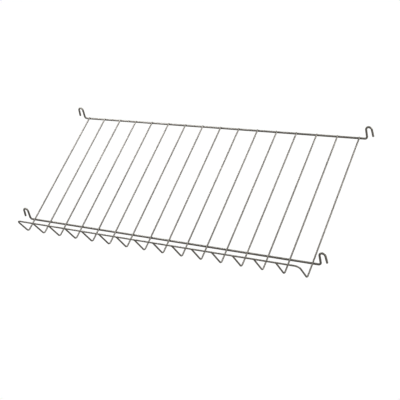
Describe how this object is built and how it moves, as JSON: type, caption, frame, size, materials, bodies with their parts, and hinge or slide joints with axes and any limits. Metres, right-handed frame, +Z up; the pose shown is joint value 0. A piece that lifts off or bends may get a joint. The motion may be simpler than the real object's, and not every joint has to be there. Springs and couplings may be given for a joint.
{
  "type": "sloping wire display shelf",
  "caption": "Sloping welded wire shelf with a V-shaped lip trough, hung by a wire hook at each end of its two rails.",
  "frame": {"origin": "midway between the seat centres of the two upper hooks, where the shelf hangs", "axes": "+X along the rails to the right seen from the front, +Y back towards the wall, +Z up; the wire surface slopes down towards -Y"},
  "size_m": [0.8028, 0.3392, 0.1718],
  "materials": {
    "rail_coat": "satin dark warm grey powder coat",
    "wire_coat": "satin dark warm grey powder coat"
  },
  "bodies": {
    "root": {"upper_rail": "rail_coat", "lower_rail": "rail_coat", "lip_frame": "wire_coat", "mesh_wire_01": "wire_coat", "mesh_wire_02": "wire_coat", "mesh_wire_03": "wire_coat", "mesh_wire_04": "wire_coat", "mesh_wire_05": "wire_coat", "mesh_wire_06": "wire_coat", "mesh_wire_07": "wire_coat", "mesh_wire_08": "wire_coat", "mesh_wire_09": "wire_coat", "mesh_wire_10": "wire_coat", "mesh_wire_11": "wire_coat", "mesh_wire_12": "wire_coat", "mesh_wire_13": "wire_coat", "mesh_wire_14": "wire_coat"}
  },
  "joints": []
}
